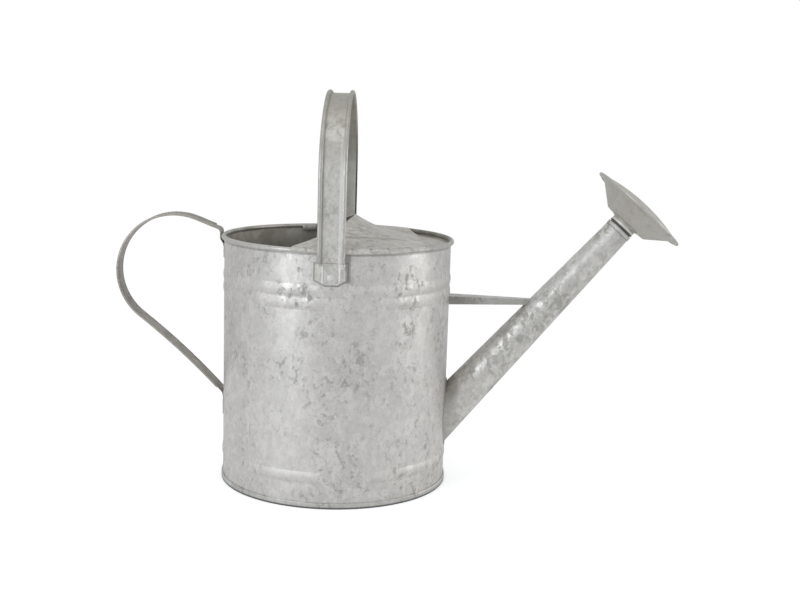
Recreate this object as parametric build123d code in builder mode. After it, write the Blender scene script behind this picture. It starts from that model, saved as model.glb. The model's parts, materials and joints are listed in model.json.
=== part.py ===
from build123d import *
import os
from math import acos, asin, atan2, cos, degrees, pi, radians, sin, sqrt, tan

# Galvanised sheet-steel watering can: a rolled body with a seamed base pan and a wired rim, a half hood
# over the spout side, a carrying strap over the top, a tipping strap behind, and a tapered spout with a
# brace and a pull-off rose. Millimetres, +Z up; the origin is on the body's axis at the plane it stands
# on, and the spout points along +X.

# ---- Sheet and fits
sheet = 0.7  # gauge of every pressing
seam_gap = 0.15  # air left between faces that are soldered or seamed together
rivet_clearance = 0.1
rose_fit = 0.1  # radial clearance of the rose's neck in the spout's mouth

# ---- Body
body_radius = 104.0
rim_height = 227.2
rim_wire_radius = 1.4
rim_wire_clearance = 0.1
rim_overhang = 0.6  # how far the wire's centre lies outside the shell
lower_swage_height = 27.0
upper_swage_drops = [47.7, 36.3]  # below the rim
swage_half_width = 5.2
swage_rise = 0.8
lock_seam_width = 6.0
lock_seam_azimuth = 150.0

# ---- Base pan, folded over the foot of the shell
pan_recess = 6.0
pan_fold = 1.2  # thickness of the folded hem outside the shell
pan_hem_height = 5.2
pan_corner = 0.6

# ---- Half hood
hood_clearance = 0.3  # between the hood and the rim's bead
hood_end_azimuths = [-109.5, 104.5]  # where the free edge meets the rim
hood_peak_x = 14.6
hood_rise = 19.1
hood_shoulder = 0.25  # how late the crown rises from its ends, from 0 to 1
hood_fall = 1.9  # how quickly the crown falls away towards the fold
hood_skirt_depth = 7.3
hood_fold_back = 50.6  # azimuths of the fold's ends at the rim
hood_fold_front = -38.5
hood_shelf_drop = 6.2
hood_shelf_run = 14.0

# ---- Carrying strap over the top
strap_width = 24.0
strap_bead_radius = 1.9
strap_bead_lift = 1.3  # bead centre outside the strap's middle plane
strap_rim_gap = 0.6
strap_leg_height = 57.3  # above the rim, where the legs turn into the arch
strap_shoulder_radius = 52.0
strap_shoulder_turn = 50.7
strap_joggle = 6.5
strap_crease_drop = 11.9  # below the rim, where the foot starts
foot_width = 28.2
foot_swage_gap = 0.1
foot_corner_width = 8.4
foot_corner_height = 4.4
foot_ridge_spacing = 14.4  # between the two pressed ridges either side of the rivet
foot_ridge_radius = 0.9
foot_ridge_inset = 3.0  # above the foot's lower edge
foot_lap = 2.0  # length that the strap runs on over the foot's curved plate
foot_lap_share = 0.9  # most of the lap that a bend may take up
bend_radius = 4.0

# ---- Tipping strap behind the body
tip_width = 20.0
tip_bead_radius = 1.1
tip_bead_lift = 0.45
tip_rim_gap = 0.3
tip_foot_length = 20.5
tip_foot_top = 77.5
tip_loop_reach = 45.1  # from the shell to the loop's centre
tip_loop_drop = 37.3  # of the loop's centre below the rim
tip_loop_radius = 52.5
tip_loop_start = 232.0  # angle round the loop where the lower run meets it
tip_corner_height = 2.9  # above the rim, where the strap turns down outside it
tip_upper_joggle = 4.7
tip_upper_foot_drop = 9.9  # below the rim
tip_upper_foot_length = 12.5
tip_bead_inset = 7.0  # of the edge beads from the strap's last bend at each end

# ---- Rivets
rivet_radius = 1.9
rivet_head_radius = 3.5
rivet_head_height = 1.5
rivet_tail_radius = 3.0
rivet_tail_height = 1.1
rivet_seat_gap = 0.05
strap_rivet_rise = 6.5  # above the foot's lower edge
tip_head_height = 1.1
tip_rivet_inset = 9.0  # above the lower foot's lower edge
tip_upper_rivet_inset = 4.7

# ---- Spout
spout_angle = 48.87  # above the horizontal
spout_root_height = 64.1
spout_root_radius = 19.0
spout_length = 235.3
spout_mouth_radius = 12.4
spout_flange_width = 2.2
spout_hem_length = 3.6
spout_hem_fold = 0.5

# ---- Brace between the body and the spout
brace_root_width = 19.0
brace_tip_width = 5.2
brace_root_drop = 52.2  # of its top below the rim, at the body
brace_tip_drop = 54.1  # and at the spout
brace_root_depth = 7.6
brace_tip_depth = 4.4

# ---- Rose
neck_insert = 15.0
neck_lead = 2.0
neck_lead_taper = 0.4
neck_stop = 1.2  # gap between the spout's mouth and the neck's flare
neck_flare_radius = 12.8
neck_flange_radius = 14.5
rose_back_height = 7.4
rose_back_radius = 22.0
rose_shoulder_radius = 40.5
rose_shoulder_height = 22.6
rose_flange_radius = 47.6
rose_flange_height = 24.7
rose_front_radius = 42.5
rose_front_height = 26.0
rose_dome_rise = 5.4
rose_crimp_width = 3.6
rose_hole_radius = 1.2
rose_hole_spacing = 11.3
rose_hole_ring_count = 3
rose_holes_per_ring = 6

# ---- Worked out from the sizes above
inner_radius = body_radius - sheet
swage_heights = [lower_swage_height] + [rim_height - drop for drop in upper_swage_drops]
bead_bore = rim_wire_radius + rim_wire_clearance
bead_radius = bead_bore + sheet
rim_centre = body_radius + rim_overhang
rim_level = rim_height - bead_radius
rim_outer = rim_centre + bead_radius
hood_radius = rim_centre - bead_radius - hood_clearance
foot_inner = body_radius + seam_gap
foot_outer = foot_inner + sheet
foot_middle = (foot_inner + foot_outer) / 2
foot_bottom = max(swage_heights) + swage_half_width + foot_swage_gap
strap_rivet_height = foot_bottom + strap_rivet_rise
tip_foot_bottom = tip_foot_top - tip_foot_length
tip_upper_foot_top = rim_height - tip_upper_foot_drop
tip_upper_foot_bottom = tip_upper_foot_top - tip_upper_foot_length
tip_rivet_heights = [tip_foot_bottom + tip_rivet_inset, tip_upper_foot_bottom + tip_upper_rivet_inset]
spout_direction = Vector(cos(radians(spout_angle)), 0, sin(radians(spout_angle)))
spout_root = Vector(body_radius, 0, spout_root_height)
spout_mouth = spout_root + spout_direction * spout_length
spout_axis = Axis(spout_mouth, spout_direction)
spout_taper = (spout_root_radius - spout_mouth_radius) / spout_length
# In this plane x is the distance from the spout's axis and y runs along it, from 0 at the mouth.
spout_plane = Plane(
    origin=spout_mouth, x_dir=(spout_direction.Z, 0, -spout_direction.X), z_dir=(0, -1, 0)
)
rose_plane = Plane(origin=spout_mouth, x_dir=(0, 1, 0), z_dir=spout_direction)

os.makedirs("parts", exist_ok=True)


def finish(piece, name):
    """Labels a finished piece and writes it."""
    piece.part.label = name
    export_step(piece.part, f"parts/{name}.step")


def swage_outline(radius, height):
    """The edges of the segment that a swage adds outside a wall of this radius."""
    with BuildLine() as outline:
        ThreePointArc(
            (radius, height - swage_half_width),
            (radius + swage_rise, height),
            (radius, height + swage_half_width),
        )
        Line((radius, height + swage_half_width), (radius, height - swage_half_width))
    return outline.edges()


def wall_section(inner, outer, bottom, top, plane=Plane.XZ):
    """The swaged wall between two radii, as a half section."""
    with BuildSketch(plane) as section:
        with BuildLine():
            Polyline((inner, bottom), (outer, bottom), (outer, top), (inner, top), close=True)
        make_face()
        for height in swage_heights:
            make_face(swage_outline(outer, height))
            if inner > 0:
                make_face(swage_outline(inner, height), mode=Mode.SUBTRACT)
    return section.sketch


def shell_sleeve(inner_offset, outer_offset):
    """A swaged sleeve standing off the shell's outside, or a swaged core where inner_offset is None."""
    inner = 0 if inner_offset is None else body_radius + inner_offset
    with BuildPart() as sleeve:
        revolve(wall_section(inner, body_radius + outer_offset, 0, rim_height), axis=Axis.Z)
    return sleeve.part


def ring_point(radius, azimuth):
    """A point in plan at this azimuth."""
    return (radius * cos(radians(azimuth)), radius * sin(radians(azimuth)))


def tangent_point(centre, radius, point, side):
    """Where a tangent from an outside point meets a circle, anticlockwise (1) or clockwise (-1) of it."""
    away = Vector(*point) - Vector(*centre)
    angle = atan2(away.Y, away.X) + side * acos(radius / away.length)
    return (centre[0] + radius * cos(angle), centre[1] + radius * sin(angle))


def dome_middle(radius, rise, base):
    """The point halfway along a dome's arc, from its foot at this radius to its top on the axis."""
    sphere = (radius**2 + rise**2) / (2 * rise)
    half = asin(radius / sphere) / 2
    return (sphere * sin(half), base + rise - sphere * (1 - cos(half)))


def spout_cone(extra):
    """The spout's outer cone, grown by this much, run on inside the body."""
    inside = 3 * spout_root_radius
    bottom = -spout_length - inside
    with BuildPart() as cone:
        with BuildSketch(spout_plane):
            with BuildLine():
                Polyline(
                    (0, 0),
                    (spout_mouth_radius + extra, 0),
                    (spout_mouth_radius + extra - bottom * spout_taper, bottom),
                    (0, bottom),
                    close=True,
                )
            make_face()
        revolve(axis=spout_axis)
    return cone.part


# ---- Body shell: rolled wall, swages, lock seam and the curl round the rim's wire
with BuildPart() as body_shell:
    revolve(
        wall_section(inner_radius, body_radius, sheet + seam_gap, rim_level - bead_bore),
        axis=Axis.Z,
    )
    with BuildSketch(Plane.XZ):
        with Locations((rim_centre, rim_level)):
            Circle(bead_radius)
            Circle(bead_bore, mode=Mode.SUBTRACT)
    revolve(axis=Axis.Z)
    seam_angle = degrees(lock_seam_width / body_radius)
    seam_top = rim_level - 2 * bead_radius
    seam_bottom = pan_hem_height + 2 * sheet
    seam_plane = Plane.XZ.rotated((0, 0, lock_seam_azimuth))
    revolve(
        wall_section(body_radius - sheet / 2, body_radius + sheet, seam_bottom, seam_top, seam_plane),
        axis=Axis.Z,
        revolution_arc=seam_angle,
    )
    add(spout_cone(-sheet), mode=Mode.SUBTRACT)
    with Locations((0, 0, strap_rivet_height)):
        Cylinder(
            rivet_radius + rivet_clearance, 3 * body_radius, rotation=(90, 0, 0), mode=Mode.SUBTRACT
        )
    for height in tip_rivet_heights:
        with Locations((-body_radius, 0, height)):
            Cylinder(
                rivet_radius + rivet_clearance, body_radius, rotation=(0, 90, 0), mode=Mode.SUBTRACT
            )
finish(body_shell, "body_shell")

# ---- Rim wire
with BuildPart() as rim_wire:
    with Locations((0, 0, rim_level)):
        Torus(rim_centre, rim_wire_radius)
finish(rim_wire, "rim_wire")

# ---- Base pan: recessed floor, folded under and round the foot of the shell
with BuildPart() as base_pan:
    pan_wall = inner_radius - seam_gap
    hem_inner = body_radius + seam_gap
    hem_outer = hem_inner + pan_fold
    with BuildSketch(Plane.XZ):
        with BuildLine():
            Polyline(
                (0, pan_recess - sheet),
                (pan_wall - sheet, pan_recess - sheet),
                (pan_wall - sheet, 0),
                (hem_outer, 0),
                (hem_outer, pan_hem_height),
                (hem_inner, pan_hem_height),
                (hem_inner, sheet),
                (pan_wall, sheet),
                (pan_wall, pan_recess),
                (0, pan_recess),
                close=True,
            )
        rounded = make_face().vertices().filter_by(lambda v: v.Z in (0, pan_hem_height))
        fillet([v for v in rounded if abs(v.X - hem_outer) < sheet / 2], pan_corner)
    revolve(axis=Axis.Z)
finish(base_pan, "base_pan")


# ---- Half hood: a crown that falls to a straight fold, then a lowered shelf out to the rim
def circle_through(a, b, c):
    """Centre and radius of the circle through three points in plan."""
    (ax, ay), (bx, by), (cx, cy) = a, b, c
    b_square = (bx - ax) ** 2 + (by - ay) ** 2
    c_square = (cx - ax) ** 2 + (cy - ay) ** 2
    area = 2 * ((bx - ax) * (cy - ay) - (by - ay) * (cx - ax))
    x = ax + ((cy - ay) * b_square - (by - ay) * c_square) / area
    y = ay + ((bx - ax) * c_square - (cx - ax) * b_square) / area
    return (x, y), sqrt((ax - x) ** 2 + (ay - y) ** 2)


hood_ends = [ring_point(hood_radius, azimuth) for azimuth in hood_end_azimuths]
hood_peak = (hood_peak_x, 0)
hood_grid_rows = 28
hood_grid_columns = 16


def hood_edge_x(y):
    """Where the hood's free edge lies at this distance across the mouth."""
    (centre_x, centre_y), radius = circle_through(hood_ends[0], hood_peak, hood_ends[1])
    return centre_x + sqrt(radius**2 - (y - centre_y) ** 2)


def hood_crown(fold_ends):
    """Underside of the crown between the free edge and the fold, as a surface through a grid."""
    (x1, y1), (x2, y2) = fold_ends
    grid = []
    for row in range(hood_grid_rows + 1):
        y = hood_radius * (2 * row / hood_grid_rows - 1)
        fold_x = x1 + (x2 - x1) * (y - y1) / (y2 - y1)
        edge_x = hood_edge_x(y)
        line = []
        for column in range(-1, hood_grid_columns + 1):
            along = column / hood_grid_columns
            x = edge_x + along * (fold_x - edge_x)
            across = abs(y) / sqrt(hood_radius**2 - x**2)
            arch = cos(pi / 2 * across)
            arch *= 1 - hood_shoulder + hood_shoulder * arch
            lift = hood_rise * arch * (1 - along) ** hood_fall
            line.append(Vector(x, y, rim_height + lift))
        grid.append(line)
    return Face.make_surface_from_array_of_points(grid, tol=0.001)


fold_ends = [ring_point(hood_radius, azimuth) for azimuth in (hood_fold_front, hood_fold_back)]
fold_run = Vector(*fold_ends[1]) - Vector(*fold_ends[0])
# In this plane x runs from the fold towards the spout and y is up.
fold_plane = Plane(
    origin=(*fold_ends[0], rim_height), x_dir=fold_run.cross(Vector(0, 0, 1)), z_dir=fold_run * -1
)
fold_tangents = ((1, -1), (1, 0))


def hood_layer(crown, upper, lower):
    """The solid between two levels that follow the hood, out to the edges of the mouth."""
    with BuildPart() as layer:
        extrude(crown, amount=upper, dir=(0, 0, 1))
        if lower:
            extrude(crown, amount=lower, dir=(0, 0, -1))
        with BuildSketch(fold_plane):
            with BuildLine():
                Line((0, -lower), (0, upper))
                Spline((0, upper), (hood_shelf_run, upper - hood_shelf_drop), tangents=fold_tangents)
                Line((hood_shelf_run, upper - hood_shelf_drop), (hood_radius, upper - hood_shelf_drop))
                Line((hood_radius, upper - hood_shelf_drop), (hood_radius, -lower - hood_shelf_drop))
                Line((hood_radius, -lower - hood_shelf_drop), (hood_shelf_run, -lower - hood_shelf_drop))
                Spline((0, -lower), (hood_shelf_run, -lower - hood_shelf_drop), tangents=fold_tangents)
            make_face()
        extrude(amount=2 * hood_radius, both=True)
    return layer.part


def hood_plan(hollow_radius):
    """A tall prism over the hood's plan, or over its outer edge alone."""
    with BuildPart() as prism:
        with BuildSketch():
            with BuildLine():
                ThreePointArc(hood_ends[0], (hood_radius, 0), hood_ends[1])
                ThreePointArc(hood_ends[1], hood_peak, hood_ends[0])
            make_face()
            if hollow_radius:
                Circle(hollow_radius, mode=Mode.SUBTRACT)
        extrude(amount=2 * rim_height)
    return prism.part


crown_face = hood_crown(fold_ends)
with BuildPart() as hood:
    add(hood_layer(crown_face, sheet, hood_skirt_depth))
    add(hood_plan(hood_radius - sheet), mode=Mode.INTERSECT)
    add(hood_layer(crown_face, sheet, 0) & hood_plan(0))
finish(hood, "hood")


# ---- Straps
def strap_section(plane, width, bead_radius):
    """A strap's flat between its two edge beads, on a plane whose x runs across the strap."""
    with BuildSketch(plane) as section:
        Rectangle(width - 2 * bead_radius, sheet)
    return section.sketch


def bead_section(plane, width, bead_radius, bead_lift):
    """The two edge beads of a strap."""
    with BuildSketch(plane) as section:
        with Locations(*[(side * (width / 2 - bead_radius), bead_lift) for side in (-1, 1)]):
            Circle(bead_radius)
    return section.sketch


def foot_plate(outline_plane, outline, bottom, top):
    """A plate bent to the shell, cut to an outline drawn on a plane that faces it."""
    with BuildPart() as plate:
        with BuildSketch(Plane.XY.offset(bottom)):
            Circle(foot_outer)
            Circle(foot_inner, mode=Mode.SUBTRACT)
        extrude(amount=top - bottom)
        with BuildSketch(outline_plane):
            with BuildLine():
                Polyline(*outline, close=True)
            make_face()
        extrude(amount=2 * body_radius, mode=Mode.INTERSECT)
    return plate.part


# Carrying strap: half of it, from one foot to the crown of the arch, and its mirror image
strap_crease = rim_height - strap_crease_drop
strap_leg = rim_outer + strap_rim_gap + sheet / 2
strap_spring = rim_height + strap_leg_height
shoulder_turn = radians(strap_shoulder_turn)
shoulder_y = strap_leg - strap_shoulder_radius * (1 - cos(shoulder_turn))
shoulder_z = strap_spring + strap_shoulder_radius * sin(shoulder_turn)
shoulder_middle = (
    strap_leg - strap_shoulder_radius * (1 - cos(shoulder_turn / 2)),
    strap_spring + strap_shoulder_radius * sin(shoulder_turn / 2),
)
arch_radius = shoulder_y / cos(shoulder_turn)
arch_top = shoulder_z + arch_radius * (1 - sin(shoulder_turn))
half_arch = (pi / 2 - shoulder_turn) / 2
arch_middle = (arch_radius * sin(half_arch), arch_top - arch_radius * (1 - cos(half_arch)))
foot_outline = [
    (-foot_width / 2, strap_crease),
    (-foot_width / 2, foot_bottom + foot_corner_height),
    (-foot_width / 2 + foot_corner_width, foot_bottom),
    (foot_width / 2 - foot_corner_width, foot_bottom),
    (foot_width / 2, foot_bottom + foot_corner_height),
    (foot_width / 2, strap_crease),
]
foot_ridge_turn = degrees(asin(foot_ridge_spacing / 2 / foot_outer))
shell_core = shell_sleeve(None, seam_gap)


def strap_route(bottom):
    """The middle of half the carrying strap, from this height up to the crown."""
    with BuildLine(Plane.YZ) as route:
        FilletPolyline(
            (foot_middle, bottom),
            (foot_middle, strap_crease),
            (strap_leg, strap_crease + strap_joggle),
            (strap_leg, strap_spring),
            radius=bend_radius,
        )
        ThreePointArc((strap_leg, strap_spring), shoulder_middle, (shoulder_y, shoulder_z))
        ThreePointArc((shoulder_y, shoulder_z), arch_middle, (0, arch_top))
    return route.wire()


def level_plane(y, z):
    """A level section plane, x across the strap and y away from the body."""
    return Plane(origin=(0, y, z), x_dir=(1, 0, 0), z_dir=(0, 0, 1))


with BuildPart() as top_handle:
    strap_start = strap_crease - foot_lap
    sweep(
        strap_section(level_plane(foot_middle, strap_start), strap_width, strap_bead_radius),
        path=strap_route(strap_start),
    )
    sweep(
        bead_section(
            level_plane(foot_middle, strap_start), strap_width, strap_bead_radius, strap_bead_lift
        ),
        path=strap_route(strap_start),
    )
    add(foot_plate(Plane.XZ.rotated((0, 0, 180)), foot_outline, foot_bottom, strap_crease))
    with BuildSketch(Plane.XY.offset(foot_bottom + foot_ridge_inset)):
        with Locations(*[ring_point(foot_outer, 90 + side * foot_ridge_turn) for side in (-1, 1)]):
            Circle(foot_ridge_radius)
    extrude(amount=strap_start - foot_bottom - foot_ridge_inset)
    add(shell_core, mode=Mode.SUBTRACT)
    with BuildSketch(Plane.XZ):
        with Locations((0, strap_rivet_height)):
            Circle(rivet_radius + rivet_clearance)
    extrude(amount=-rim_outer, mode=Mode.SUBTRACT)
    mirror(about=Plane.XZ)
finish(top_handle, "top_handle")


# Tipping strap: lower foot, a shallow run out to the loop, the loop, and a straight run to the rim
loop_centre = (-body_radius - tip_loop_reach, rim_height - tip_loop_drop)
tip_leg = -rim_outer - tip_rim_gap - sheet / 2
tip_corner = (tip_leg, rim_height + tip_corner_height)
loop_end = tangent_point(loop_centre, tip_loop_radius, tip_corner, 1)
loop_start_angle = radians(tip_loop_start)
loop_start = (
    loop_centre[0] + tip_loop_radius * cos(loop_start_angle),
    loop_centre[1] + tip_loop_radius * sin(loop_start_angle),
)
loop_left = (loop_centre[0] - tip_loop_radius, loop_centre[1])
with BuildLine(Plane.XZ) as tip_line:
    Line((-foot_middle, tip_foot_top - foot_lap), (-foot_middle, tip_foot_top))
    lower_run = TangentArc(
        loop_start,
        (-foot_middle, tip_foot_top),
        tangent=(-sin(loop_start_angle), cos(loop_start_angle)),
    )
    ThreePointArc(loop_start, loop_left, loop_end)
    Line(loop_end, tip_corner)
    Polyline(
        tip_corner,
        (tip_leg, tip_upper_foot_top + tip_upper_joggle),
        (-foot_middle, tip_upper_foot_top),
        (-foot_middle, tip_upper_foot_top - foot_lap),
    )
    bends = tip_line.vertices().filter_by(lambda v: v.X > tip_corner[0] - sheet).sort_by(Axis.Z)
    fillet(bends[2:], bend_radius)
    lower_turn = radians((lower_run % 1).get_angle(Vector(0, 0, -1)))
    fillet(bends[1], min(bend_radius, foot_lap_share * foot_lap / tan(lower_turn / 2)))


def foot_rectangle(width, bottom, top):
    """A plain foot's outline."""
    return [(-width / 2, bottom), (width / 2, bottom), (width / 2, top), (-width / 2, top)]


tip_path = tip_line.wire()
tip_bead_start = (foot_lap + tip_bead_inset) / tip_path.length
tip_bead_end = 1 - (
    tip_corner[1] - tip_upper_foot_top + foot_lap + tip_bead_inset
) / tip_path.length
tip_bead_path = tip_path.trim(tip_bead_start, tip_bead_end)
behind_plane = Plane.YZ.rotated((0, 0, 180))
with BuildPart() as rear_handle:
    sweep(
        strap_section(Plane(tip_path @ 0, x_dir=(0, 1, 0), z_dir=tip_path % 0), tip_width, 0),
        path=tip_path,
    )
    sweep(
        bead_section(
            Plane(tip_bead_path @ 0, x_dir=(0, 1, 0), z_dir=tip_bead_path % 0),
            tip_width,
            tip_bead_radius,
            tip_bead_lift,
        ),
        path=tip_bead_path,
    )
    for bottom, top in [
        (tip_foot_bottom, tip_foot_top),
        (tip_upper_foot_bottom, tip_upper_foot_top),
    ]:
        add(foot_plate(behind_plane, foot_rectangle(tip_width, bottom, top), bottom, top))
    add(shell_core, mode=Mode.SUBTRACT)
    with BuildSketch(behind_plane):
        with Locations(*[(0, height) for height in tip_rivet_heights]):
            Circle(rivet_radius + rivet_clearance)
    extrude(amount=rim_outer, mode=Mode.SUBTRACT)
finish(rear_handle, "rear_handle")


# ---- Rivets
def rivet(azimuth, height, head_height):
    """A rivet set radially through a foot and the shell."""
    out = Vector(*ring_point(1, azimuth))
    plane = Plane(origin=(0, 0, height), x_dir=(0, 0, 1), z_dir=Vector(0, 0, 1).cross(out))
    head_base = foot_outer + rivet_seat_gap
    tail_base = sqrt(inner_radius**2 - rivet_tail_radius**2) - rivet_seat_gap
    tail_end = tail_base - rivet_tail_height
    with BuildPart() as piece:
        with BuildSketch(plane):
            with BuildLine():
                Polyline(
                    (0, tail_end),
                    (rivet_tail_radius, tail_end),
                    (rivet_tail_radius, tail_base),
                    (rivet_radius, tail_base),
                    (rivet_radius, head_base),
                    (rivet_head_radius, head_base),
                )
                ThreePointArc(
                    (rivet_head_radius, head_base),
                    dome_middle(rivet_head_radius, head_height, head_base),
                    (0, head_base + head_height),
                )
                Line((0, head_base + head_height), (0, tail_end))
            make_face()
        revolve(axis=Axis((0, 0, height), out))
    return piece.part


with BuildPart() as top_handle_rivets:
    for azimuth in (-90, 90):
        add(rivet(azimuth, strap_rivet_height, rivet_head_height))
finish(top_handle_rivets, "top_handle_rivets")

with BuildPart() as rear_handle_rivets:
    for height in tip_rivet_heights:
        add(rivet(180, height, tip_head_height))
finish(rear_handle_rivets, "rear_handle_rivets")

# ---- Spout: a tapered tube with a flange bent to the shell and a hem round its mouth
with BuildPart() as spout_tube:
    add(spout_cone(0))
    with BuildSketch(spout_plane):
        with BuildLine():
            Polyline(
                (0, 0),
                (spout_mouth_radius + spout_hem_fold, 0),
                (spout_mouth_radius + spout_hem_fold, -spout_hem_length),
                (0, -spout_hem_length),
                close=True,
            )
        make_face()
    revolve(axis=spout_axis)
    add(shell_core, mode=Mode.SUBTRACT)
    add(spout_cone(spout_flange_width) & shell_sleeve(seam_gap, seam_gap + sheet))
    add(spout_cone(-sheet), mode=Mode.SUBTRACT)
finish(spout_tube, "spout_tube")

# ---- Brace: a tapered channel, open below
brace_root_top = rim_height - brace_root_drop
brace_tip_top = rim_height - brace_tip_drop
brace_end = body_radius + (brace_tip_top - spout_root_height) / tan(radians(spout_angle))
brace_start = body_radius - 2 * bead_radius


def brace_block(inset, root_depth, tip_depth):
    """The tapered block between the body and the spout's axis, less this much at the top and sides."""
    with BuildPart() as block:
        for x, width, top, depth in [
            (brace_start, brace_root_width, brace_root_top, root_depth),
            (brace_end, brace_tip_width, brace_tip_top, tip_depth),
        ]:
            with BuildSketch(Plane.YZ.offset(x)):
                with Locations((0, top - inset)):
                    Rectangle(width - 2 * inset, depth, align=(Align.CENTER, Align.MAX))
        loft()
    return block.part


with BuildPart() as spout_brace:
    add(brace_block(0, brace_root_depth, brace_tip_depth))
    add(brace_block(sheet, 2 * brace_root_depth, 2 * brace_tip_depth), mode=Mode.SUBTRACT)
    add(shell_core, mode=Mode.SUBTRACT)
    add(spout_cone(seam_gap), mode=Mode.SUBTRACT)
finish(spout_brace, "spout_brace")

# ---- Rose neck: a plug for the spout's mouth, flared against the mouth and flanged under the rose
neck_radius = spout_mouth_radius - sheet - rose_fit
neck_bore = neck_radius - sheet
flange_top = rose_back_height - seam_gap
with BuildPart() as rose_neck:
    with BuildSketch(spout_plane):
        with BuildLine():
            Polyline(
                (neck_bore - neck_lead_taper, -neck_insert),
                (neck_radius - neck_lead_taper, -neck_insert),
                (neck_radius, neck_lead - neck_insert),
                (neck_radius, neck_stop),
                (neck_flare_radius, neck_stop),
                (neck_radius + sheet, neck_stop + 2 * sheet),
                (neck_radius + sheet, flange_top - 2 * sheet),
                (neck_flange_radius, flange_top - sheet),
                (neck_flange_radius, flange_top),
                (neck_bore, flange_top),
                (neck_bore, neck_lead - neck_insert),
                close=True,
            )
        make_face()
    revolve(axis=spout_axis)
finish(rose_neck, "rose_neck")

# ---- Rose back: a flat disc, a cone and a flange, pressed from one sheet
flange_inner = (rose_shoulder_radius, rose_shoulder_height)
flange_outer = (rose_flange_radius, rose_flange_height)
with BuildPart() as rose_back:
    with BuildSketch(spout_plane):
        with BuildLine():
            FilletPolyline(
                (neck_bore, rose_back_height + sheet / 2),
                (rose_back_radius, rose_back_height + sheet / 2),
                flange_inner,
                flange_outer,
                radius=2 * sheet,
            )
        trace(line_width=sheet)
    revolve(axis=spout_axis)
finish(rose_back, "rose_back")

# ---- Rose face: a perforated dome, crimped round the flange of the back
crimp_radius = sheet + seam_gap
flange_run = (Vector(*flange_outer) - Vector(*flange_inner)).normalized()
flange_normal = Vector(-flange_run.Y, flange_run.X)
front_corner = (rose_front_radius, rose_front_height)
crimp_front = tangent_point(flange_outer, crimp_radius, front_corner, -1)
crimp_back = Vector(*flange_outer) - flange_normal * crimp_radius
crimp_end = crimp_back - flange_run * rose_crimp_width
crimp_bisector = ((Vector(*crimp_front) + crimp_back) / 2 - Vector(*flange_outer)).normalized()
crimp_tip = Vector(*flange_outer) + crimp_bisector * crimp_radius
with BuildPart() as rose_face:
    with BuildSketch(spout_plane):
        with BuildLine():
            ThreePointArc(
                (-rose_front_radius, rose_front_height),
                (0, rose_front_height + rose_dome_rise),
                front_corner,
            )
            Line(front_corner, crimp_front)
            ThreePointArc(crimp_front, (crimp_tip.X, crimp_tip.Y), (crimp_back.X, crimp_back.Y))
            Line((crimp_back.X, crimp_back.Y), (crimp_end.X, crimp_end.Y))
        trace(line_width=sheet)
        with Locations((0, rose_front_height)):
            Rectangle(
                rose_flange_radius,
                3 * rose_dome_rise,
                align=(Align.MAX, Align.CENTER),
                mode=Mode.SUBTRACT,
            )
    revolve(axis=spout_axis)
    with BuildSketch(rose_plane.offset(rose_front_height)):
        Circle(rose_hole_radius)
        for ring in range(1, rose_hole_ring_count + 1):
            with PolarLocations(ring * rose_hole_spacing, ring * rose_holes_per_ring):
                Circle(rose_hole_radius)
    extrude(amount=2 * rose_dome_rise, mode=Mode.SUBTRACT)
finish(rose_face, "rose_face")
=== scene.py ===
import json
from math import atan2, cos, pi, radians, sin

import bpy
from mathutils import Matrix, Vector


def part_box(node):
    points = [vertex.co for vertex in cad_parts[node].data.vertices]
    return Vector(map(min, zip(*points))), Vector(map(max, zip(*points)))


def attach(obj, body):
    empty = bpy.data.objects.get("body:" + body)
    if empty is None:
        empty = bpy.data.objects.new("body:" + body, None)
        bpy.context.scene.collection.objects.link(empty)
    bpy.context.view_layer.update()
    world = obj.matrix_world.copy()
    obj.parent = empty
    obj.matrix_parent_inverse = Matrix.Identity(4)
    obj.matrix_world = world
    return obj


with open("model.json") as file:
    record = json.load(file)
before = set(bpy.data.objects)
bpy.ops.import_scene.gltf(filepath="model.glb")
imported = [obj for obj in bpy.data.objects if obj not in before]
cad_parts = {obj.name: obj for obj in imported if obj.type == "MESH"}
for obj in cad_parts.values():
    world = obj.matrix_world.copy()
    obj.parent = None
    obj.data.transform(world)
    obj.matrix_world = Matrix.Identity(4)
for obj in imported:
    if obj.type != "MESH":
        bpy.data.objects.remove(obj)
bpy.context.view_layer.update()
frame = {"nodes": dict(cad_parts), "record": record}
nodes = frame["nodes"]

# Lengths are in metres, and angles in radians where no comment says degrees.
# X runs to the spout, Y away from the camera, Z up. Masks run from 0 to 1.

# ---- Camera
CAMERA_PLACE = (0.0586, -1.101, 0.3532)
CAMERA_PITCH = 0.16616  # below the horizon
CAMERA_ROLL = 0.03094
CAMERA_LENS = 54.0  # in millimetres

# ---- Studio
WORLD_LEVEL = 0.6  # of the even light from all round
WORLD_TINT = (0.96, 0.98, 1, 1)
BACKGROUND = (1, 1, 1, 1)
FLOOR_COLOUR = (0.9, 0.9, 0.9, 1)
FLOOR_HALF = 3.0  # from its middle to each side
FLOOR_SOLID_RADIUS = 0.25  # beyond this the floor fades into the background
FLOOR_CLEAR_RADIUS = 0.9
FLOOR_LIFT = 0.42  # added for the camera alone, so that the floor reads as white

# Each lamp's name, place, target, size, watts and tint
LAMPS = (
    ("key", (-1.15, -1.3, 0.62), (0, 0, 0.12), (0.7, 1.1), 10.5, (0.9, 0.95, 1)),
    ("fill", (1.95, -0.15, 0.6), (0, 0, 0.12), (1.0, 1.3), 10.5, (0.97, 0.985, 1)),
    ("top", (-0.2, 0.2, 2.2), (0, 0, 0.1), (1.6, 1.6), 5, (1, 1, 1)),
)

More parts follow.
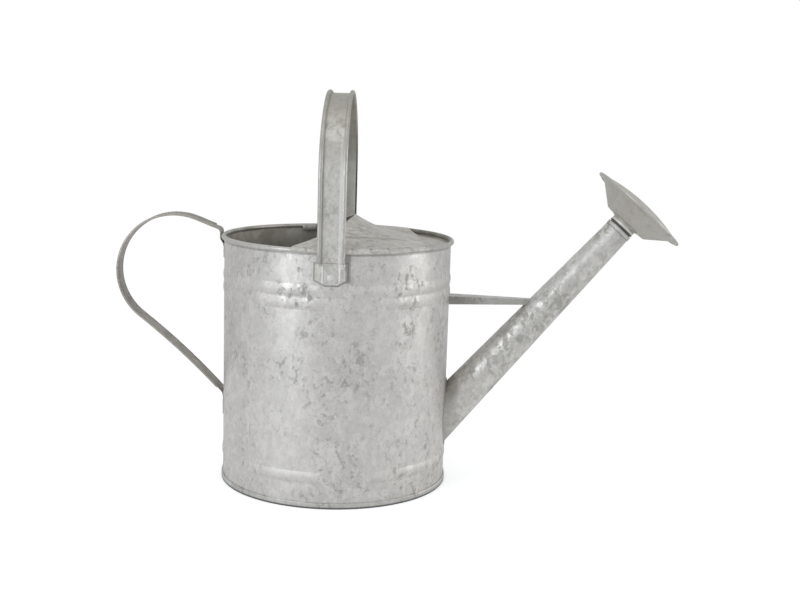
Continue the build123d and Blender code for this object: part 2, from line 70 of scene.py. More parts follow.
# ---- The hood's edge, lapped over the rim
LAP_RADIUS = 0.00235  # from the rim wire's centre to the lap's inner face
LAP_THICKNESS = 0.0002
LAP_STEPS = 24  # along the rim
LAP_ROWS = 9  # over the rim
LAP_INSET = 0.0034  # from the wire's centre in to where the lap starts
LAP_LIFT = 0.0001
LAP_CREST = radians(100)  # where the lap starts to follow the wire, up from outward
LAP_WAVE = 5.3  # how much of a sine the uneven edge takes along one piece

# Each piece's name, its first and last azimuth, and the turns round the wire
# between which its edge wanders, all in degrees
LAPS = (
    ("hood_lap_near", -109.0, -81.0, -8, -22),
    ("hood_tab_first", -80.0, -72.5, -34, -40),
    ("hood_tab_second", -71.0, -63.7, -30, -42),
    ("hood_tab_third", -62.6, -41.0, -26, -38),
    ("hood_lap_far", 62.0, 104.0, -14, -26),
)
HEM_RADIUS = 0.1014
HEM_AZIMUTHS = (104.6, 107, 109.5, 112, 113.6)  # in degrees
HEM_RISES = (-0.005, -0.0015, 0.0012)  # from the wire's centre

# ---- The carrying strap
STRAP_WIDTH = 0.024
FOOT_CORNER_WIDTH = 0.0084
FOOT_CORNER_HEIGHT = 0.0044
CREASE_DROP = 0.0119  # from the rim down to the crease above the foot
ARCH_CENTRE_RISE = 0.09  # above the foot's lower edge
RIDGE_SPACING = 0.0144  # between the foot's two ridges

# ---- The rest of the can
MOUTH_RADIUS = 0.0124  # of the spout
SPOUT_GRAIN_TURN = radians(41)
SWAGE_HEIGHTS = (0.027, 0.1795, 0.1909)
SWAGE_REACH = 0.004
INSIDE_DEEP_LEVEL = 0.185  # below this the inside is in shade
INSIDE_LIT_LEVEL = 0.222
CROWN_CREASE_LEVEL = 0.2224  # on the can's middle line
CROWN_CREASE_SLOPE = 0.167
BEYOND = 1.0  # further out or higher up than any part of the can

# ---- Tints laid over the sheet's own colour: stains and dirt, and painted light and shade
# Painted shade along the wall under the rim's bead
BEAD_SHADE = (0.2, 0.2, 0.185)  # under the rim's bead
BEAD_OUTSIDE = (0.5, 0.485, 0.45)
# Dirt and painted shade on the wall along the outline of the strap's foot
FOOT_JOINT_DIRT_AND_SHADE = (0.24, 0.23, 0.21)
# Dirt and painted shade along the edge of the strap's foot
FOOT_EDGE_DIRT_AND_SHADE = (0.22, 0.21, 0.19)
# Painted shade in the crease above the strap's foot
STRAP_CREASE_SHADE = (0.26, 0.25, 0.23)
BESIDE_STRAP_SHADE = (0.27, 0.26, 0.24)
# Painted shade along the crease across the hood's crown
HOOD_CREASE_SHADE = (0.3, 0.29, 0.26)
# Painted shade along the base's lowest edge, where it meets the ground
GROUND_CONTACT_SHADE = (0.1, 0.1, 0.095)
# The strap's hems: painted shade towards the rear, a painted highlight and a painted-shade edge
# towards the spout
SHADED_HEM = (0.43, 0.42, 0.39)
HEM_HIGHLIGHT = (0.92, 0.91, 0.88)
HEM_EDGE_SHADE = (0.46, 0.45, 0.42)
FAR_EDGE_SHADE = (0.04, 0.038, 0.034)
# Painted shade in the groove behind the spout's hem and in the gap at its mouth
SPOUT_HEM_SHADE = (0.2, 0.195, 0.18)
BRACE_ROOT_STAIN = (0.22, 0.21, 0.185)
NECK_GAP_SHADE = (0.09, 0.09, 0.08)
# Painted highlight on the foot's ridges and the neck's lip
EDGE_HIGHLIGHT = (0.85, 0.84, 0.81)  # of the foot's ridges and the neck's lip

# Each mottle's two tones
# Inside the shell: mottled painted light near the mouth, and mottled painted shade deeper down
INSIDE_LIT = ((0.82, 0.78, 0.70), (0.54, 0.51, 0.44))
INSIDE_DEEP = ((0.44, 0.42, 0.36), (0.28, 0.27, 0.23))
# The rim bead's inner side, mottled: lighter on the open side, in painted shade under the hood
BEAD_OPEN_SIDE = ((0.57, 0.55, 0.50), (0.39, 0.375, 0.33))
BEAD_HOOD_SIDE = ((0.32, 0.305, 0.265), (0.2, 0.19, 0.165))
# Painted shade on the arch's inner face
ARCH_INSIDE = ((0.40, 0.385, 0.34), (0.28, 0.27, 0.235))
GRIP = ((0.56, 0.535, 0.475), (0.42, 0.40, 0.35))
GRIP_CROWN = ((0.42, 0.40, 0.345), (0.33, 0.315, 0.27))
SPOUT_ROOT = ((0.30, 0.28, 0.24), (0.42, 0.40, 0.36))
# Painted light on the brace's top face
BRACE_TOP = ((0.8, 0.79, 0.76), (0.6, 0.59, 0.56))
ROSE_BLOTCHES = ((0.60, 0.56, 0.505), (0.515, 0.505, 0.47))

# The sheet that the rose and its neck share
ROSE_SHEET = {
    "light": (0.565, 0.542, 0.495),
    "dark": (0.33, 0.315, 0.28),
    "fleck": 0.006,
    "cover": 0.6,
    "contrast": 0.4,
}

# ---- Places on the can, from the frame
wire_low, wire_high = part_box("rim_wire")
wire_radius = (wire_high.z - wire_low.z) / 2
rim_radius = wire_high.x - wire_radius
rim_level = (wire_high.z + wire_low.z) / 2
body_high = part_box("body_shell")[1]
wall_radius = body_high.x
bead_foot = rim_level - (body_high.z - rim_level)
pan_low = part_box("base_pan")[0]
spout_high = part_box("spout_tube")[1]
spout_axis = frame["record"]["behaviour"]["joints"][0]["axis"]
spout_turn = atan2(spout_axis[2], spout_axis[0])
mouth_level = (
    spout_high.x * cos(spout_turn)
    + spout_high.z * sin(spout_turn)
    - MOUTH_RADIUS * sin(2 * spout_turn)
)
strap_low, strap_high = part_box("top_handle")
strap_half = STRAP_WIDTH / 2
foot_half = strap_high.x
foot_low = strap_low.z
ridge_place = RIDGE_SPACING / 2
crease = body_high.z - CREASE_DROP


def make_camera():
    """The camera, a little above the rim, level with the can's front."""
    data = bpy.data.cameras.new("camera")
    data.lens = CAMERA_LENS
    camera = bpy.data.objects.new("camera", data)
    bpy.context.scene.collection.objects.link(camera)
    turn = Matrix.Rotation(pi / 2 - CAMERA_PITCH, 4, "X") @ Matrix.Rotation(CAMERA_ROLL, 4, "Z")
    camera.matrix_world = Matrix.Translation(CAMERA_PLACE) @ turn
    bpy.context.scene.camera = camera


def make_lamp(name, place, target, size, watts, tint):
    """A soft rectangular lamp at a place, aimed at a target."""
    data = bpy.data.lights.new(name, "AREA")
    data.shape = "RECTANGLE"
    data.size, data.size_y = size
    data.energy = watts
    data.color = tint
    lamp = bpy.data.objects.new(name, data)
    lamp.location = place
    aim = Vector(target) - Vector(place)
    lamp.rotation_euler = aim.to_track_quat("-Z", "Y").to_euler()
    bpy.context.scene.collection.objects.link(lamp)


class Tree:
    """A small helper that adds and links shader nodes."""

    def __init__(self, owner):
        owner.use_nodes = True
        self.tree = owner.node_tree
        self.tree.nodes.clear()

    def add(self, kind, inputs=None, **settings):
        """Adds a node, sets its properties, and sets or links its inputs by name or index."""
        node = self.tree.nodes.new(kind)
        for key, value in settings.items():
            setattr(node, key, value)
        for key, value in (inputs or {}).items():
            if isinstance(value, bpy.types.NodeSocket):
                self.tree.links.new(value, node.inputs[key])
            else:
                node.inputs[key].default_value = value
        return node

    def math(self, operation, first, second=0.0, clamp=False):
        """One sum, product or comparison of two values."""
        inputs = {0: first, 1: second}
        node = self.add("ShaderNodeMath", inputs, operation=operation, use_clamp=clamp)
        return node.outputs[0]

    def vector_math(self, operation, first, second=None):
        """A node that works on one or two vectors."""
        inputs = {0: first} if second is None else {0: first, 1: second}
        return self.add("ShaderNodeVectorMath", inputs, operation=operation)

    def fit(self, value, low, high, to_low=0.0, to_high=1.0, smooth=False):
        """A value carried from one range to another, and held at its ends."""
        inputs = {
            "Value": value,
            "From Min": low,
            "From Max": high,
            "To Min": to_low,
            "To Max": to_high,
        }
        kind = "SMOOTHSTEP" if smooth else "LINEAR"
        return self.add("ShaderNodeMapRange", inputs, interpolation_type=kind).outputs[0]

    def noise(self, vector, scale, detail=2.0, roughness=0.5, distortion=0.0):
        """Fractal noise, as a value."""
        inputs = {
            "Vector": vector,
            "Scale": scale,
            "Detail": detail,
            "Roughness": roughness,
            "Distortion": distortion,
        }
        return self.add("ShaderNodeTexNoise", inputs).outputs["Fac"]

    def stretch(self, vector, scale, rotation=(0, 0, 0)):
        """Coordinates drawn out along an axis."""
        inputs = {"Vector": vector, "Rotation": rotation, "Scale": scale}
        return self.add("ShaderNodeMapping", inputs).outputs[0]

    def mix(self, factor, first, second):
        """Two colours mixed."""
        node = self.add("ShaderNodeMix", data_type="RGBA")
        for socket, value in (("Factor", factor), ("A", first), ("B", second)):
            slot = next(s for s in node.inputs if s.name == socket and s.enabled)
            if isinstance(value, bpy.types.NodeSocket):
                self.tree.links.new(value, slot)
            else:
                slot.default_value = value if socket == "Factor" else (*value, 1)
        return next(s for s in node.outputs if s.enabled)


def make_world():
    """Plain white behind everything, and even grey light."""
    world = bpy.data.worlds.new("studio")
    bpy.context.scene.world = world
    tree = Tree(world)
    seen = tree.add("ShaderNodeLightPath").outputs["Is Camera Ray"]
    light = tree.add("ShaderNodeBackground", {"Color": WORLD_TINT, "Strength": WORLD_LEVEL})
    white = tree.add("ShaderNodeBackground", {"Color": BACKGROUND, "Strength": 1.0})
    both = tree.add("ShaderNodeMixShader", {0: seen, 1: light.outputs[0], 2: white.outputs[0]})
    tree.add("ShaderNodeOutputWorld", {"Surface": both.outputs[0]})


def make_floor():
    """A plain pale floor that fades out into the background."""
    mesh = bpy.data.meshes.new("floor")
    r = FLOOR_HALF
    mesh.from_pydata([(-r, -r, 0), (r, -r, 0), (r, r, 0), (-r, r, 0)], [], [(0, 1, 2, 3)])
    floor = bpy.data.objects.new("floor", mesh)
    bpy.context.scene.collection.objects.link(floor)
    material = bpy.data.materials.new("pale_floor")
    tree = Tree(material)
    coords = tree.add("ShaderNodeTexCoord").outputs["Object"]
    distance = tree.vector_math("LENGTH", coords).outputs["Value"]
    fade = tree.fit(distance, FLOOR_SOLID_RADIUS, FLOOR_CLEAR_RADIUS, smooth=True)
    plain = tree.add("ShaderNodeBsdfDiffuse", {"Color": FLOOR_COLOUR})
    seen = tree.add("ShaderNodeLightPath").outputs["Is Camera Ray"]
    lift = tree.add("ShaderNodeEmission", {"Strength": tree.math("MULTIPLY", seen, FLOOR_LIFT)})
    pale = tree.add("ShaderNodeAddShader", {0: plain.outputs[0], 1: lift.outputs[0]})
    clear = tree.add("ShaderNodeBsdfTransparent")
    both = tree.add("ShaderNodeMixShader", {0: fade, 1: pale.outputs[0], 2: clear.outputs[0]})
    tree.add("ShaderNodeOutputMaterial", {"Surface": both.outputs[0]})
    mesh.materials.append(material)


def scaled(colour, factor):
    """A colour made lighter or darker, and held at white."""
    return [min(1, part * factor) for part in colour]


class Zinc:
    """Weathered hot-dipped zinc: pale patches on a dull ground, with clusters of soft dark flecks.

    light, dark: the ground's colour, and the flecks'
    fleck, patch: the size of a fleck, and of a pale smooth patch
    cover: how much of the surface the flecks take
    contrast, patchy: how plainly the flecks show, and the patches
    mottled: how far the ground's own tone wanders
    draw, turn: the pattern's scale along each axis, and its turn about Y
    """

    FLECK_LEVEL = 0.66  # the noise above which a fleck shows, with no cover
    COVER_DROP = 0.14  # how much lower it is with full cover
    CLUSTER_SCALE = 0.17  # next to the flecks' own scale
    SPECK_SCALE = 2.4
    GRAIN_SCALE = 1.5
    CLOUD_SCALE = 0.3  # next to the patches' scale
    CLOUD_DEPTH = 0.2
    PATCH_GAIN = 1.18  # how much paler than the ground a patch is
    PATCH_GLOSS = 0.12  # how much smoother
    GRAIN_RELIEF = 0.6  # next to a fleck's
    PATCH_RELIEF = 0.5
    RELIEF_DEPTH = 0.0004

    def __init__(self, name, light, dark, fleck=0.006, cover=0.5, contrast=0.7, draw=(1, 1, 0.8),
                 turn=0.0, patch=0.016, patchy=0.5, mottled=0.06):
        self.material = bpy.data.materials.new(name)
        self.tree = tree = Tree(self.material)
        self.coords = tree.add("ShaderNodeTexCoord").outputs["Object"]
        self.patchy = patchy
        self.wear = None
        drawn = tree.stretch(self.coords, draw, (0, turn, 0))
        self.flecks = self.fleck_mask(drawn, 1 / fleck, cover)
        patches = tree.noise(drawn, 1 / patch, detail=6.0, roughness=0.72, distortion=0.3)
        self.patches = tree.fit(patches, low=0.5, high=0.57)
        self.grain = tree.noise(drawn, self.GRAIN_SCALE / fleck, detail=4.0, roughness=0.65)
        clouds = tree.noise(drawn, self.CLOUD_SCALE / patch, detail=4.0, roughness=0.6)
        blotch = tree.fit(self.grain, low=0.35, high=0.65)
        ground = tree.mix(blotch, scaled(light, 1 - mottled), scaled(light, 1 + mottled))
        cloud = tree.fit(clouds, low=0.35, high=0.65, to_high=self.CLOUD_DEPTH)
        ground = tree.mix(cloud, ground, dark)
        pale = tree.math("MULTIPLY", self.patches, patchy)
        ground = tree.mix(pale, ground, scaled(light, self.PATCH_GAIN))
        self.colour = tree.mix(tree.math("MULTIPLY", self.flecks, contrast), ground, dark)

    def fleck_mask(self, drawn, scale, cover):
        """Flecks and smaller specks, crowded together in clusters."""
        tree = self.tree
        level = self.FLECK_LEVEL - self.COVER_DROP * cover
        clusters = tree.noise(
            drawn, self.CLUSTER_SCALE * scale, detail=4.0, roughness=0.65, distortion=0.4
        )
        crowd = tree.fit(clusters, low=0.42, high=0.6, to_low=0.3)
        swell = tree.fit(clusters, low=0.4, high=0.62, to_high=0.05)
        spots = tree.noise(drawn, scale, detail=4.0, roughness=0.62, distortion=0.4)
        spots = tree.fit(tree.math("ADD", spots, swell), low=level, high=level + 0.08)
        specks = tree.noise(drawn, self.SPECK_SCALE * scale, detail=3.0, roughness=0.6)
        specks = tree.fit(specks, low=level - 0.03, high=level + 0.09, to_high=0.5)
        return tree.math("MULTIPLY", tree.math("MAXIMUM", spots, specks), crowd)

    # -- Measures over the surface

    def axis(self, name):
        """X, Y or Z."""
        return self.tree.add("ShaderNodeSeparateXYZ", {0: self.coords}).outputs[name]

    def radius(self):
        """The distance from the can's axis."""
        flat = self.tree.stretch(self.coords, (1, 1, 0))
        return self.tree.vector_math("LENGTH", flat).outputs["Value"]

    def along_spout(self):
        """The distance along the spout's axis."""
        axis = (cos(spout_turn), 0, sin(spout_turn))
        return self.tree.vector_math("DOT_PRODUCT", self.coords, axis).outputs["Value"]

    def inward(self, centre):
        """How squarely a face looks towards a line across the can, through a centre."""
        to_centre = self.tree.vector_math("SUBTRACT", centre, self.coords).outputs[0]
        flat = self.tree.stretch(to_centre, (0, 1, 1))
        normal = self.tree.add("ShaderNodeTexCoord").outputs["Normal"]
        return self.tree.vector_math("DOT_PRODUCT", flat, normal).outputs["Value"]

    def facing_up(self, strength):
        """How far a face looks up."""
        normal = self.tree.add("ShaderNodeTexCoord").outputs["Normal"]
        upward = self.tree.add("ShaderNodeSeparateXYZ", {0: normal}).outputs["Z"]
        return self.tree.math("MULTIPLY", self.tree.fit(upward, low=0.5, high=0.8), strength)

    def foot_distance(self):
        """How far a point on the wall lies outside the carrying strap's foot."""
        tree = self.tree
        across = tree.math("ABSOLUTE", self.axis("X"))
        side = tree.math("SUBTRACT", across, foot_half)
        below = tree.math("SUBTRACT", foot_low, self.axis("Z"))
        inward = tree.math("SUBTRACT", across, foot_half - FOOT_CORNER_WIDTH)
        slant = (FOOT_CORNER_WIDTH**2 + FOOT_CORNER_HEIGHT**2) ** 0.5
        corner = tree.math(
            "ADD",
            tree.math("MULTIPLY", inward, FOOT_CORNER_HEIGHT / slant),
            tree.math("MULTIPLY", below, FOOT_CORNER_WIDTH / slant),
        )
        return tree.math("MAXIMUM", tree.math("MAXIMUM", side, below), corner)

    # -- Masks and colours

    def within(self, value, low, high, soft, strength=1.0):
        """A mask of where a value lies in a stretch with soft ends."""
        tree = self.tree
        enter = tree.fit(value, low - soft, low, smooth=True)
        leave = tree.fit(value, high, high + soft, to_low=1.0, to_high=0.0, smooth=True)
        return tree.math("MULTIPLY", tree.math("MULTIPLY", enter, leave), strength)

    def both(self, first, second):
        """A mask of where two masks overlap."""
        return self.tree.math("MULTIPLY", first, second)

    def mottle(self, first, second, cell):
        """Two tones in soft blotches."""
        noise = self.tree.noise(self.coords, 1 / cell, detail=5.0, roughness=0.62, distortion=0.5)
        return self.tree.mix(self.tree.fit(noise, low=0.4, high=0.6), first, second)

    def tint(self, mask, colour):
        """Lays a colour over the finish."""
        self.colour = self.tree.mix(mask, self.colour, colour)

    def dull(self, mask):
        """Makes the finish rougher, by as much as the mask says."""
        self.wear = mask if self.wear is None else self.tree.math("ADD", mask, self.wear)

    def close(self, metallic=0.6, rough=0.42, uneven=0.16, bump=0.12):
        """Joins the finish up and gives the material."""
        tree = self.tree
        smooth = tree.math("MULTIPLY", self.patches, self.PATCH_GLOSS * self.patchy)
        dulled = tree.math("MULTIPLY", self.flecks, uneven)
        roughness = tree.math("ADD", tree.math("SUBTRACT", dulled, smooth), rough, clamp=True)
        if self.wear is not None:
            roughness = tree.math("ADD", roughness, self.wear, clamp=True)
        grain = tree.math("MULTIPLY", self.grain, self.GRAIN_RELIEF)
        patches = tree.math("MULTIPLY", self.patches, self.PATCH_RELIEF)
        relief = tree.math("SUBTRACT", tree.math("ADD", self.flecks, grain), patches)
        normal = tree.add(
            "ShaderNodeBump", {"Height": relief, "Strength": bump, "Distance": self.RELIEF_DEPTH}
        )
        shader = tree.add(
            "ShaderNodeBsdfPrincipled",
            {
                "Base Color": self.colour,
                "Roughness": roughness,
                "Metallic": metallic,
                "Normal": normal.outputs[0],
            },
        )
        tree.add("ShaderNodeOutputMaterial", {"Surface": shader.outputs[0]})
        return self.material


def finish_body():
    """The shell: painted shade under its bead, dirt and painted shade round the strap's foot with
    a painted shadow beside it, a mottled inside in painted light and shade, and swages rubbed
    dull.
    """
    zinc = Zinc(
        "body_zinc", light=(0.667, 0.643, 0.613), dark=(0.35, 0.338, 0.314),
        fleck=0.0052, cover=0.6, contrast=0.72, patch=0.009, patchy=0.6,
    )
    tree = zinc.tree
    across, height, radius = zinc.axis("X"), zinc.axis("Z"), zinc.radius()

    # Painted shade under the rim's bead
    under_bead = zinc.within(height, bead_foot - 0.0012, bead_foot, soft=0.0006, strength=0.45)
    zinc.tint(under_bead, BEAD_SHADE)
    # Dirt and painted shade along the foot's outline, and a painted shadow on the wall beside the
    # strap
    from_foot = zinc.foot_distance()
    foot_joint = zinc.within(from_foot, low=-0.001, high=0.0006, soft=0.0005, strength=0.75)
    below_crease = zinc.within(height, low=0.0, high=crease, soft=0.0015)
    zinc.tint(zinc.both(foot_joint, below_crease), FOOT_JOINT_DIRT_AND_SHADE)
    strap_side = zinc.within(
        across, strap_half - 0.002, foot_half + 0.0018, soft=0.0012, strength=0.65
    )
    foot_to_bead = zinc.within(height, foot_low + 0.003, bead_foot, soft=0.0015)
    zinc.tint(zinc.both(strap_side, foot_to_bead), BESIDE_STRAP_SHADE)

    # The inside, mottled: painted light near the mouth, painted shade deeper down
    bead_offset = tree.fit(height, bead_foot - 0.0005, bead_foot + 0.0005, to_high=0.0012)
    inner_radius = tree.math("SUBTRACT", radius, bead_offset)
    inside = zinc.within(inner_radius, low=0.0, high=rim_radius - 0.0013, soft=0.0003)
    lit = zinc.mottle(*INSIDE_LIT, cell=0.03)
    deep = zinc.mottle(*INSIDE_DEEP, cell=0.03)
    near_mouth = tree.fit(height, INSIDE_DEEP_LEVEL, INSIDE_LIT_LEVEL, smooth=True)
    zinc.tint(inside, tree.mix(near_mouth, deep, lit))

    # The bead's inner side: lighter on the open side, painted shade under the hood
    inner_bead = zinc.both(inside, zinc.within(height, bead_foot, BEYOND, soft=0.0005))
    open_side = zinc.mottle(*BEAD_OPEN_SIDE, cell=0.015)
    hood_side = zinc.mottle(*BEAD_HOOD_SIDE, cell=0.015)
    under_hood = tree.fit(across, low=0.0, high=0.05, smooth=True)
    zinc.tint(inner_bead, tree.mix(under_hood, open_side, hood_side))
    bead = zinc.within(height, bead_foot, BEYOND, soft=0.0005, strength=0.5)
    outside = zinc.within(radius, rim_radius - 0.0007, BEYOND, soft=0.0004)
    zinc.tint(zinc.both(bead, outside), BEAD_OUTSIDE)

    for swage in SWAGE_HEIGHTS:
        low, high = swage - SWAGE_REACH, swage + SWAGE_REACH
        zinc.dull(zinc.within(height, low, high, soft=0.003, strength=0.12))
    return zinc.close(uneven=0.22)


def finish_pan():
    """The base, with painted shade along its lowest edge, where it stands on the ground."""
    zinc = Zinc(
        "pan_zinc", light=(0.60, 0.585, 0.555), dark=(0.33, 0.32, 0.30), fleck=0.0052, patch=0.009
    )
    height = zinc.axis("Z")
    grounded = zinc.within(height, low=-0.01, high=pan_low.z + 0.0012, soft=0.001, strength=0.9)
    zinc.tint(grounded, GROUND_CONTACT_SHADE)
    return zinc.close()


def finish_hood():
    """The hood and its laps, with a faint crease across the crown drawn as a line of painted
    shade.
    """
    zinc = Zinc(
        "hood_zinc", light=(0.625, 0.602, 0.557), dark=(0.35, 0.335, 0.305),
        fleck=0.0055, cover=0.85, contrast=0.65, draw=(0.7, 1, 1), patch=0.014, mottled=0.12,
    )
    tree = zinc.tree
    slant = tree.math("MULTIPLY", zinc.axis("Y"), CROWN_CREASE_SLOPE)
    wander = tree.noise(zinc.coords, scale=60.0)
    wander = tree.fit(wander, low=0.3, high=0.7, to_low=-0.0008, to_high=0.0008)
    level = tree.math("ADD", tree.math("ADD", zinc.axis("Z"), slant), wander)
    creased = zinc.within(
        level, CROWN_CREASE_LEVEL - 0.0005, CROWN_CREASE_LEVEL + 0.0008, soft=0.001, strength=0.5
    )
    crown = zinc.within(zinc.axis("X"), low=-0.01, high=0.05, soft=0.02)
    zinc.tint(zinc.both(creased, crown), HOOD_CREASE_SHADE)
    return zinc.close(metallic=0.45, rough=0.64)


def finish_strap():
    """The carrying strap: feet with painted shade in the crease and on the flank, dirt and painted
    shade at their edges and painted highlights on their ridges, hems in painted light and shade,
    painted shade on the arch's inner face and the far leg's edge, and a grip dulled by hands.
    """
    zinc = Zinc(
        "strap_zinc", light=(0.665, 0.645, 0.605), dark=(0.36, 0.35, 0.32),
        fleck=0.004, cover=0.85, draw=(1, 1, 0.6), patch=0.01, mottled=0.18,
    )
    tree = zinc.tree
    across, height = zinc.axis("X"), zinc.axis("Z")

    # The feet: painted shade in the crease and on the flank, dirt and painted shade at the edge,
    # painted highlights on the ridges
    at_crease = zinc.within(height, crease - 0.0003, crease + 0.0003, soft=0.0004, strength=0.5)
    zinc.tint(at_crease, STRAP_CREASE_SHADE)
    from_foot = zinc.foot_distance()
    foot_edge = zinc.within(from_foot, low=-0.0004, high=0.001, soft=0.0004, strength=0.6)
    zinc.tint(foot_edge, FOOT_EDGE_DIRT_AND_SHADE)
    flank = zinc.within(across, strap_half + 0.0004, foot_half + 0.001, soft=0.0004, strength=0.7)
    below_crease = zinc.within(height, low=0.0, high=crease, soft=0.0005)
    zinc.tint(zinc.both(flank, below_crease), BESIDE_STRAP_SHADE)
    from_middle = tree.math("ABSOLUTE", across)
    ridge = zinc.within(
        from_middle, ridge_place - 0.0005, ridge_place + 0.0005, soft=0.0004, strength=0.7
    )
    on_foot = zinc.within(height, foot_low + 0.003, crease - 0.0015, soft=0.0008)
    zinc.tint(zinc.both(ridge, on_foot), EDGE_HIGHLIGHT)

    # The hems: painted shade towards the rear, and towards the spout a painted highlight with a
    # painted-shade edge
    above_crease = zinc.within(height, crease, BEYOND, soft=0.002)
    rear_hem = zinc.within(across, -BEYOND, 0.0043 - strap_half, soft=0.0008, strength=0.6)
    zinc.tint(zinc.both(rear_hem, above_crease), SHADED_HEM)
    hem_groove = zinc.within(
        across, strap_half - 0.0058, strap_half - 0.0034, soft=0.0005, strength=0.6
    )
    leg = zinc.within(height, crease, strap_high.z - 0.04, soft=0.01)
    zinc.tint(zinc.both(hem_groove, leg), HEM_HIGHLIGHT)
    hem_edge = zinc.within(across, strap_half - 0.0025, BEYOND, soft=0.0006, strength=0.6)
    zinc.tint(zinc.both(hem_edge, above_crease), HEM_EDGE_SHADE)

    # Painted shade on the arch's inner face and on the far leg's edge
    arch_centre = (0, 0, foot_low + ARCH_CENTRE_RISE)
    facing_in = zinc.inward(arch_centre)
    inner_face = zinc.within(facing_in, low=0.001, high=1.0, soft=0.001, strength=0.75)
    zinc.tint(inner_face, zinc.mottle(*ARCH_INSIDE, cell=0.015))
    far_edge = zinc.within(across, strap_half - 0.0012, BEYOND, soft=0.0005)
    far_leg = zinc.within(zinc.axis("Y"), rim_radius, BEYOND, soft=0.02)
    zinc.tint(zinc.both(far_edge, far_leg), FAR_EDGE_SHADE)

    # The grip
    handled = tree.fit(height, crease + 0.05, strap_high.z, to_high=0.75, smooth=True)
    zinc.tint(handled, zinc.mottle(*GRIP, cell=0.02))
    crown = tree.fit(
        height, strap_high.z - 0.036, strap_high.z - 0.012, to_high=0.5, smooth=True
    )
    zinc.tint(crown, zinc.mottle(*GRIP_CROWN, cell=0.012))
    return zinc.close(rough=0.45)


def finish_tip():
    """The tipping strap, browner and duller than the rest."""
    zinc = Zinc(
        "tip_zinc", light=(0.43, 0.40, 0.36), dark=(0.25, 0.23, 0.205),
        fleck=0.005, cover=0.8, contrast=0.6,
    )
    return zinc.close(rough=0.45)


def finish_spout():
    """The spout, stained at its root, with painted shade in the groove behind its hem and in the
    gap at its mouth.
    """
    zinc = Zinc(
        "spout_zinc", light=(0.665, 0.646, 0.61), dark=(0.35, 0.338, 0.305), fleck=0.0065,
        cover=0.9, contrast=0.6, turn=SPOUT_GRAIN_TURN, patch=0.012, patchy=0.7, mottled=0.12,
    )
    radius = zinc.radius()
    root = zinc.within(radius, low=0.0, high=wall_radius + 0.001, soft=0.012, strength=0.45)
    zinc.tint(root, zinc.mottle(*SPOUT_ROOT, cell=0.012))
    along = zinc.along_spout()
    behind_hem = zinc.within(
        along, mouth_level - 0.0046, mouth_level - 0.004, soft=0.0004, strength=0.55
    )
    zinc.tint(behind_hem, SPOUT_HEM_SHADE)
    at_mouth = zinc.within(along, mouth_level - 0.0007, BEYOND, soft=0.0006, strength=0.6)
    zinc.tint(at_mouth, SPOUT_HEM_SHADE)
    return zinc.close(rough=0.44, uneven=0.26, bump=0.34)


def finish_brace():
    """The brace, stained at the wall, with painted light on its top face."""
    zinc = Zinc(
        "brace_zinc", light=(0.485, 0.47, 0.44), dark=(0.28, 0.275, 0.255), fleck=0.004
    )
    across = zinc.axis("X")
    root = zinc.within(across, low=0.0, high=wall_radius + 0.004, soft=0.03, strength=0.55)
    zinc.tint(root, BRACE_ROOT_STAIN)
    top_face = zinc.facing_up(strength=0.8)
    zinc.tint(top_face, zinc.mottle(*BRACE_TOP, cell=0.01))
    return zinc.close(rough=0.5)


def finish_rose():
    """The rose, with faint warm and cool blotches."""
    zinc = Zinc("rose_zinc", **ROSE_SHEET)
    grained = zinc.tree.fit(zinc.grain, low=0.3, high=0.7, to_low=0.2, to_high=0.6)
    zinc.tint(grained, zinc.mottle(*ROSE_BLOTCHES, cell=0.012))
    return zinc.close(rough=0.52)


def finish_neck():
    """The rose's neck: painted shade in the gap at the spout's mouth, with a painted highlight on
    the lip beyond it.
    """
    zinc = Zinc("neck_zinc", **ROSE_SHEET)
    along = zinc.along_spout()
    gap = zinc.within(
        along, mouth_level - 0.0006, mouth_level + 0.0016, soft=0.0004, strength=0.85
    )
    zinc.tint(gap, NECK_GAP_SHADE)
    lip = zinc.within(
        along, mouth_level + 0.0021, mouth_level + 0.0036, soft=0.0003, strength=0.8
    )
    zinc.tint(lip, EDGE_HIGHLIGHT)
    return zinc.close(rough=0.52)


def finish_rivets():
    """The rivets' pale, dull heads."""
    zinc = Zinc(
        "rivet_zinc", light=(0.74, 0.73, 0.70), dark=(0.45, 0.44, 0.42), fleck=0.002, contrast=0.4
    )
    return zinc.close(metallic=0.3, rough=0.62)


def finish_wire():
    """The wire inside the rim."""
    zinc = Zinc("wire_zinc", light=(0.45, 0.45, 0.44), dark=(0.3, 0.3, 0.29), fleck=0.002)
    return zinc.close()


def dress(material, *names):
    """Gives CAD nodes their finish."""
    for name in names:
        for slot in nodes[name].material_slots:
            slot.material = material


def ring(radius, azimuth, height):
    """A point round the can's axis."""
    return (radius * cos(azimuth), radius * sin(azimuth), height)


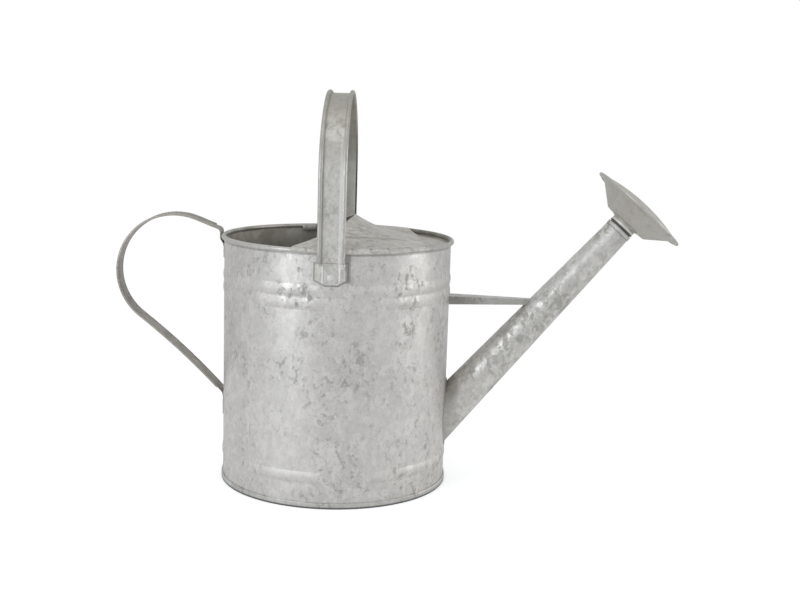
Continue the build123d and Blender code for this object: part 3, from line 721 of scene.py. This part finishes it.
def lap_rows(start, end, low_turn, high_turn):
    """Rows of points from the hood's edge over the rim's wire, down to an uneven edge."""
    rows = []
    for step in range(LAP_STEPS + 1):
        share = step / LAP_STEPS
        azimuth = radians(start + (end - start) * share)
        wave = 0.5 + 0.5 * sin(LAP_WAVE * share + start)
        edge = radians(low_turn + (high_turn - low_turn) * wave)
        row = [ring(rim_radius - LAP_INSET, azimuth, rim_level + LAP_RADIUS + LAP_LIFT)]
        for count in range(LAP_ROWS + 1):
            turn = LAP_CREST + (edge - LAP_CREST) * count / LAP_ROWS
            radius = rim_radius + LAP_RADIUS * cos(turn)
            row.append(ring(radius, azimuth, rim_level + LAP_RADIUS * sin(turn)))
        rows.append(row)
    return rows


def hem_rows():
    """Rows of points up the end of the hood's hem, inside the far rim."""
    return [
        [ring(HEM_RADIUS, radians(azimuth), rim_level + rise) for rise in HEM_RISES]
        for azimuth in HEM_AZIMUTHS
    ]


def sheet_piece(name, rows, material, body="can"):
    """A thin sheet from rows of points, given its thickness on the side away from the normal."""
    mesh = bpy.data.meshes.new(name)
    width = len(rows[0])
    faces = [
        (r * width + c, r * width + c + 1, (r + 1) * width + c + 1, (r + 1) * width + c)
        for r in range(len(rows) - 1)
        for c in range(width - 1)
    ]
    mesh.from_pydata([point for row in rows for point in row], [], faces)
    piece = bpy.data.objects.new(name, mesh)
    bpy.context.scene.collection.objects.link(piece)
    solid = piece.modifiers.new("gauge", "SOLIDIFY")
    solid.thickness = LAP_THICKNESS
    solid.offset = 1
    mesh.materials.append(material)
    for face in mesh.polygons:
        face.use_smooth = True
    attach(piece, body)


# ---- The studio
bpy.context.scene.view_settings.view_transform = "Standard"
make_camera()
make_world()
make_floor()
for lamp in LAMPS:
    make_lamp(*lamp)

# ---- The CAD nodes' finishes
dress(finish_body(), "body_shell")
dress(finish_pan(), "base_pan")
hood_finish = finish_hood()
dress(hood_finish, "hood")
dress(finish_strap(), "top_handle")
dress(finish_tip(), "rear_handle")
dress(finish_spout(), "spout_tube")
dress(finish_brace(), "spout_brace")
dress(finish_rose(), "rose_back", "rose_face")
dress(finish_neck(), "rose_neck")
dress(finish_rivets(), "top_handle_rivets", "rear_handle_rivets")
dress(finish_wire(), "rim_wire")

# ---- The hood's edge, turned down over the rim in uneven tabs
for name, *course in LAPS:
    sheet_piece(name, lap_rows(*course), hood_finish)
sheet_piece("hood_hem_far", hem_rows(), hood_finish)
